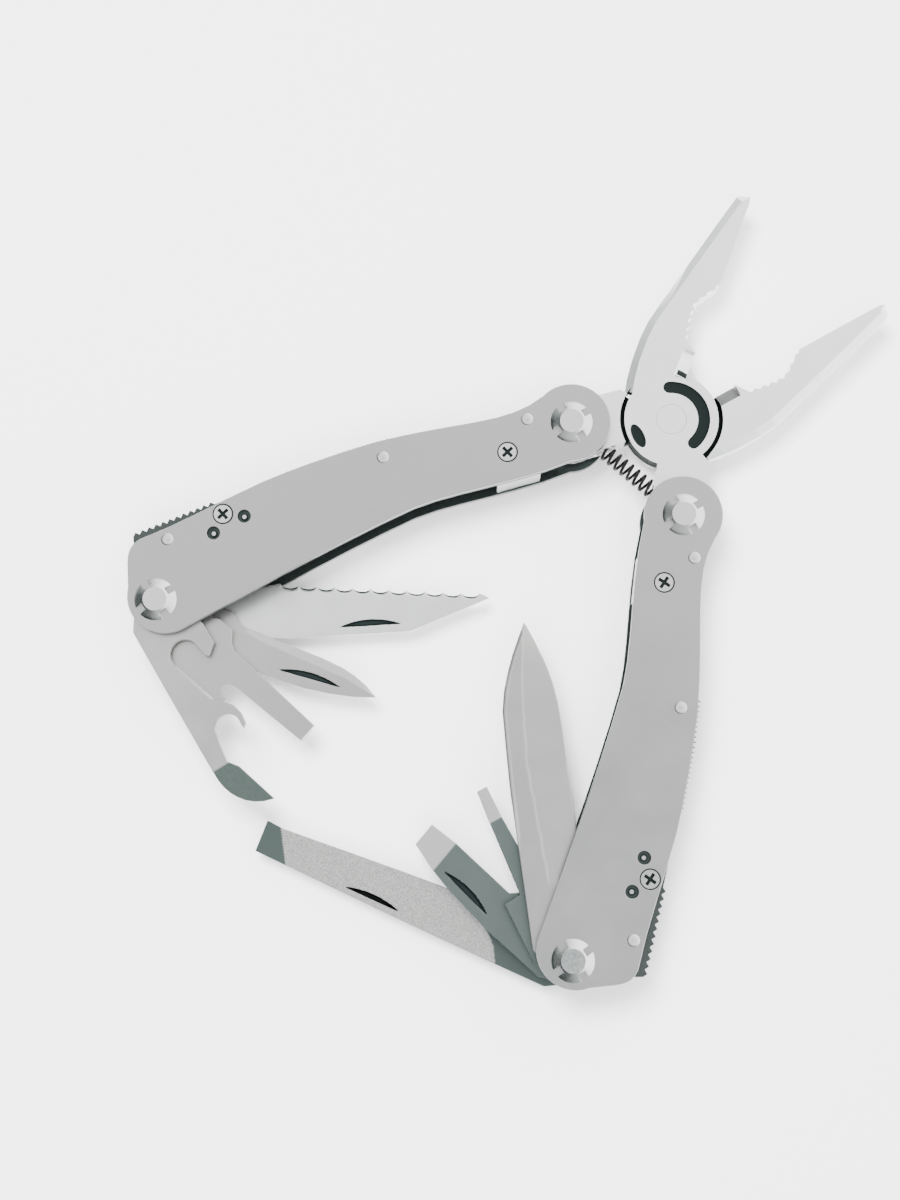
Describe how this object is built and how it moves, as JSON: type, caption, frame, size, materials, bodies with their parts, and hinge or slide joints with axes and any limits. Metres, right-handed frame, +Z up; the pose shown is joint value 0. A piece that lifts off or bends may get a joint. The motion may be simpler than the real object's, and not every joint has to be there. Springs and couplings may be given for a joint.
{
  "type": "multi tool",
  "caption": "Folding pliers multi tool lying open, its splayed handles holding knife blades, a file, flat drivers, a can and bottle opener, lock bars and a spring.",
  "frame": {"origin": "bottom centre of the tool's bounding box as it lies open: on the plane under the four lower bolt heads", "axes": "+Z up through the tool's thickness, +Y from the handles' butts towards the jaws along the tool's centre line, +X towards the handle that holds the knife and file"},
  "size_m": [0.1332, 0.1662, 0.0152],
  "materials": {
    "jaw_steel": "bright satin-ground steel, with brighter bevels",
    "spring_steel": "black oxide wire",
    "cover_steel": "bead-blasted satin steel, light grey",
    "liner_steel": "plain steel, dark grey at its edges",
    "block_steel": "bright plain steel",
    "bolt_steel": "polished steel",
    "lock_steel": "spring steel, dark teeth",
    "screw_steel": "bright steel, dark cross recess",
    "rivet_steel": "satin steel",
    "blade_steel": "fine satin-ground steel",
    "opener_steel": "satin steel, the opener's ground edge is dark grey",
    "driver_steel": "dark grey-green steel with light ground tips",
    "file_steel": "crosscut texture, light grey"
  },
  "bodies": {
    "rivet": {"pliers_rivet": "jaw_steel", "return_spring": "spring_steel"},
    "left_jaw": {"left_jaw": "jaw_steel"},
    "right_jaw": {"right_jaw": "jaw_steel"},
    "left_handle": {"left_front_cover": "cover_steel", "left_front_liner": "liner_steel", "left_back_liner": "liner_steel", "left_back_cover": "cover_steel", "left_neck_block": "block_steel", "left_jaw_bolt": "bolt_steel", "left_jaw_nut": "bolt_steel", "left_neck_washers": "block_steel", "left_tool_bolt": "bolt_steel", "left_tool_nut": "bolt_steel", "left_tool_washers": "block_steel", "left_lock_screw": "screw_steel", "left_lock_pins": "screw_steel", "left_neck_screws": "screw_steel", "left_rivets": "rivet_steel"},
    "right_handle": {"right_front_cover": "cover_steel", "right_front_liner": "liner_steel", "right_back_liner": "liner_steel", "right_back_cover": "cover_steel", "right_neck_block": "block_steel", "right_jaw_bolt": "bolt_steel", "right_jaw_nut": "bolt_steel", "right_neck_washers": "block_steel", "right_tool_bolt": "bolt_steel", "right_tool_nut": "bolt_steel", "right_tool_washers": "block_steel", "right_lock_screw": "screw_steel", "right_lock_pins": "screw_steel", "right_neck_screws": "screw_steel", "right_rivets": "rivet_steel"},
    "left_lock_bar": {"left_lock_bar": "lock_steel"},
    "right_lock_bar": {"right_lock_bar": "lock_steel"},
    "can_opener": {"can_opener": "opener_steel"},
    "flat_driver": {"flat_driver": "opener_steel"},
    "pen_blade": {"pen_blade": "blade_steel"},
    "serrated_blade": {"serrated_blade": "blade_steel"},
    "knife_blade": {"knife_blade": "blade_steel"},
    "small_driver": {"small_driver": "driver_steel"},
    "large_driver": {"large_driver": "driver_steel"},
    "file": {"file": "file_steel"}
  },
  "joints": [
    {"name": "left_jaw_pivot", "type": "hinge", "parent": "rivet", "child": "left_jaw", "pos_m": [0, 0.03681, 0.0076], "axis": [0, 0, -1], "range_deg": [0, 20.35], "stiffness_Nm_per_rad": 0.05, "deforming": ["return_spring"]},
    {"name": "right_jaw_pivot", "type": "hinge", "parent": "rivet", "child": "right_jaw", "pos_m": [0, 0.03681, 0.0076], "axis": [0, 0, 1], "range_deg": [0, 20.35], "stiffness_Nm_per_rad": 0.05, "deforming": ["return_spring"]},
    {"name": "left_handle_fold", "type": "hinge", "parent": "right_jaw", "child": "left_handle", "pos_m": [-0.01453, 0.02249, 0.0076], "axis": [0, 0, -1], "range_deg": [0, 168.2]},
    {"name": "right_handle_fold", "type": "hinge", "parent": "left_jaw", "child": "right_handle", "pos_m": [0.01453, 0.02249, 0.0076], "axis": [0, 0, 1], "range_deg": [0, 168.2]},
    {"name": "left_lock_release", "type": "hinge", "parent": "left_handle", "child": "left_lock_bar", "pos_m": [-0.05526, -0.03686, 0.0076], "axis": [0, 0, 1], "range_deg": [-2, 3.5], "stiffness_Nm_per_rad": 0.2},
    {"name": "right_lock_release", "type": "hinge", "parent": "right_handle", "child": "right_lock_bar", "pos_m": [0.05526, -0.03686, 0.0076], "axis": [0, 0, -1], "range_deg": [-2, 3.5], "stiffness_Nm_per_rad": 0.2},
    {"name": "can_opener_pivot", "type": "hinge", "parent": "left_handle", "child": "can_opener", "pos_m": [-0.05398, -0.0584, 0.0076], "axis": [0, 0, 1], "range_deg": [-98, 82]},
    {"name": "flat_driver_pivot", "type": "hinge", "parent": "left_handle", "child": "flat_driver", "pos_m": [-0.05398, -0.0584, 0.0076], "axis": [0, 0, 1], "range_deg": [-115.6, 64.4]},
    {"name": "pen_blade_pivot", "type": "hinge", "parent": "left_handle", "child": "pen_blade", "pos_m": [-0.05398, -0.0584, 0.0076], "axis": [0, 0, 1], "range_deg": [-133.8, 46.2]},
    {"name": "serrated_blade_pivot", "type": "hinge", "parent": "left_handle", "child": "serrated_blade", "pos_m": [-0.05398, -0.0584, 0.0076], "axis": [0, 0, 1], "range_deg": [-158.2, 21.8]},
    {"name": "knife_blade_pivot", "type": "hinge", "parent": "right_handle", "child": "knife_blade", "pos_m": [0.05398, -0.0584, 0.0076], "axis": [0, 0, -1], "range_deg": [-157.6, 22.4]},
    {"name": "small_driver_pivot", "type": "hinge", "parent": "right_handle", "child": "small_driver", "pos_m": [0.05398, -0.0584, 0.0076], "axis": [0, 0, -1], "range_deg": [-137.6, 42.4]},
    {"name": "large_driver_pivot", "type": "hinge", "parent": "right_handle", "child": "large_driver", "pos_m": [0.05398, -0.0584, 0.0076], "axis": [0, 0, -1], "range_deg": [-115.5, 64.5]},
    {"name": "file_pivot", "type": "hinge", "parent": "right_handle", "child": "file", "pos_m": [0.05398, -0.0584, 0.0076], "axis": [0, 0, -1], "range_deg": [-96.9, 83.1]}
  ]
}
